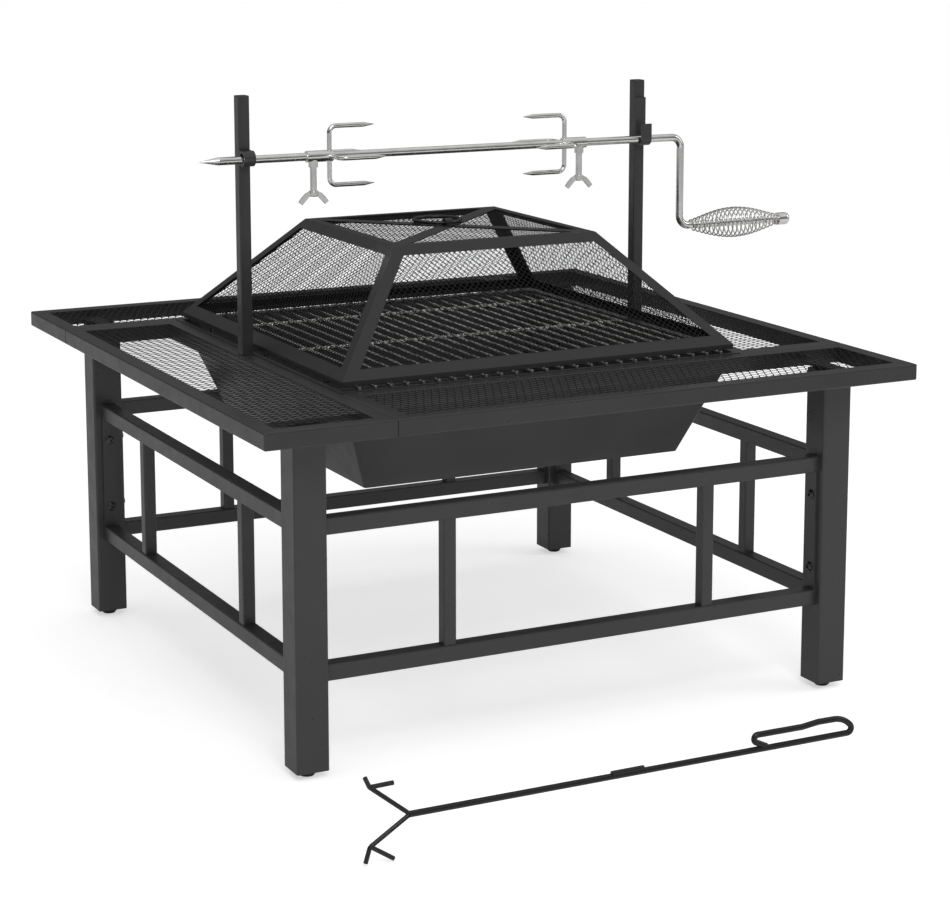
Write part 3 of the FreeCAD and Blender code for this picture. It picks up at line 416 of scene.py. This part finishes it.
def lid_mesh(material):
    """Square mesh on its corners: four leaning sheets and the top sheet, in one piece."""
    low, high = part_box("lid_mesh")
    top_low, top_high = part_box("lid_top_frame")
    hips_low, hips_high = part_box("lid_hips")
    run_per_rise = (hips_high.x - top_high.x) / (top_low.z - hips_low.z)
    half_foot = high.x
    half_head = half_foot - run_per_rise * (high.z - low.z)
    parts = []
    for quarter in range(4):
        side = lid_side(half_foot, half_head, low.z, high.z)
        side.transform(Matrix.Rotation(math.pi / 2 * quarter, 4, "Z"))
        parts.append(side)
    top = lid_cells(2 * half_head, 2 * half_head)
    trim(top, rectangle(half_head, half_head))
    top.transform(Matrix.Translation((0, 0, high.z - LID_STRAND_DEPTH / 2)))
    parts.append(top)
    item = mesh_object("lid_woven_mesh", joined(parts), material)
    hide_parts("lid_mesh")
    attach(item, "lid")


def coil_grip(material):
    """The barrel-shaped grip wound from wire, open at both ends round the crank."""
    low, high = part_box("crank_grip")
    cap_low, cap_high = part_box("crank_cap")
    axis_y = (low.y + high.y) / 2
    axis_z = (cap_low.z + cap_high.z) / 2
    end_radius = COIL_BORE_RADIUS + COIL_WIRE_RADIUS
    middle_radius = (high.y - low.y) / 2 - COIL_WIRE_RADIUS
    start = low.x + COIL_WIRE_RADIUS
    length = high.x - low.x - 2 * COIL_WIRE_RADIUS
    steps = COIL_TURNS * COIL_STEPS_PER_TURN
    path = []
    for k in range(steps + 1):
        t = k / steps
        swell = math.sin(math.pi * t) ** COIL_FULLNESS
        radius = end_radius + (middle_radius - end_radius) * swell
        angle = 2 * math.pi * COIL_TURNS * t
        y = axis_y + radius * math.cos(angle)
        z = axis_z + radius * math.sin(angle)
        path.append(Vector((start + length * t, y, z)))
    wire = tube_along(path, COIL_WIRE_RADIUS, COIL_WIRE_SIDES)
    item = mesh_object("coil_grip", wire, material, smooth=True)
    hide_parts("crank_grip")
    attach(item, "crank_grip")


def dress_cad(slots):
    """Gives every CAD node the material of its slot."""
    for entry in frame["record"]["subparts"]:
        node = frame["nodes"][entry["node"]]
        node.data.materials.clear()
        node.data.materials.append(slots[entry["material_slot"]])


# ---------------------------------------------------------------- stage

def area_light(name, place, target, size, power):
    """A rectangular lamp at place that points at target."""
    data = bpy.data.lights.new(name, "AREA")
    data.shape = "RECTANGLE"
    data.size, data.size_y = size
    data.energy = power
    item = bpy.data.objects.new(name, data)
    bpy.context.scene.collection.objects.link(item)
    item.location = place
    item.rotation_euler = (Vector(target) - Vector(place)).to_track_quat("-Z", "Y").to_euler()


def studio_world():
    """A bright ceiling that fades to a dim band at the horizon, so that dark paint keeps its depth.

    The sky lights the object but isn't seen: the backdrop itself is plain white.
    """
    world = bpy.data.worlds.new("studio")
    world.use_nodes = True
    tree = world.node_tree
    sky = tree.nodes["Background"]
    place = tree.nodes.new("ShaderNodeTexCoord")
    split = tree.nodes.new("ShaderNodeSeparateXYZ")
    tree.links.new(place.outputs["Generated"], split.inputs["Vector"])
    shade = spread(tree, split.outputs["Z"], SKY_AT_HORIZON, SKY_AT_ZENITH,
                   from_low=HORIZON_BAND_TOP, from_high=1.0)
    tree.links.new(shade, sky.inputs["Strength"])
    sky.inputs["Color"].default_value = WHITE
    backdrop = tree.nodes.new("ShaderNodeBackground")
    backdrop.inputs["Color"].default_value = WHITE
    ray = tree.nodes.new("ShaderNodeLightPath")
    either = tree.nodes.new("ShaderNodeMixShader")
    tree.links.new(ray.outputs["Is Camera Ray"], either.inputs["Fac"])
    tree.links.new(sky.outputs["Background"], either.inputs[1])
    tree.links.new(backdrop.outputs["Background"], either.inputs[2])
    tree.links.new(either.outputs["Shader"], tree.nodes["World Output"].inputs["Surface"])
    return world


def build_stage():
    """The floor, the sky and two lamps; none of them belongs to the object."""
    made = bmesh.new()
    bmesh.ops.create_grid(made, x_segments=1, y_segments=1, size=FLOOR_SIZE / 2)
    floor = mesh_object("floor", made, floor_paper())
    floor.location.z = -FLOOR_DROP
    bpy.context.scene.world = studio_world()
    area_light("key", place=(-0.9, -3.3, 2.8), target=(0, 0, 0.3), size=(1.8, 1.8), power=42)
    area_light("side", place=(3.0, -1.2, 1.8), target=(0, 0, 0.4), size=(1.2, 2.0), power=14)


def build_camera():
    """The main view, with plain colours and no tone curve."""
    data = bpy.data.cameras.new("camera")
    data.sensor_width = SENSOR_WIDTH
    data.lens = LENS_LENGTH
    data.shift_y = CAMERA_SHIFT
    data.clip_end = CAMERA_REACH
    item = bpy.data.objects.new("camera", data)
    bpy.context.scene.collection.objects.link(item)
    item.location = CAMERA_PLACE
    item.rotation_euler = (math.pi / 2 - CAMERA_PITCH, 0, -CAMERA_YAW)
    bpy.context.scene.camera = item
    bpy.context.scene.view_settings.view_transform = "Standard"


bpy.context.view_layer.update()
slots = make_slots()
dress_cad(slots)
for panel_side in PANEL_SIDES:
    panel_sheet(panel_side, slots["mesh_paint"])
lid_mesh(slots["mesh_paint"])
coil_grip(slots["spit_steel"])
build_stage()
build_camera()
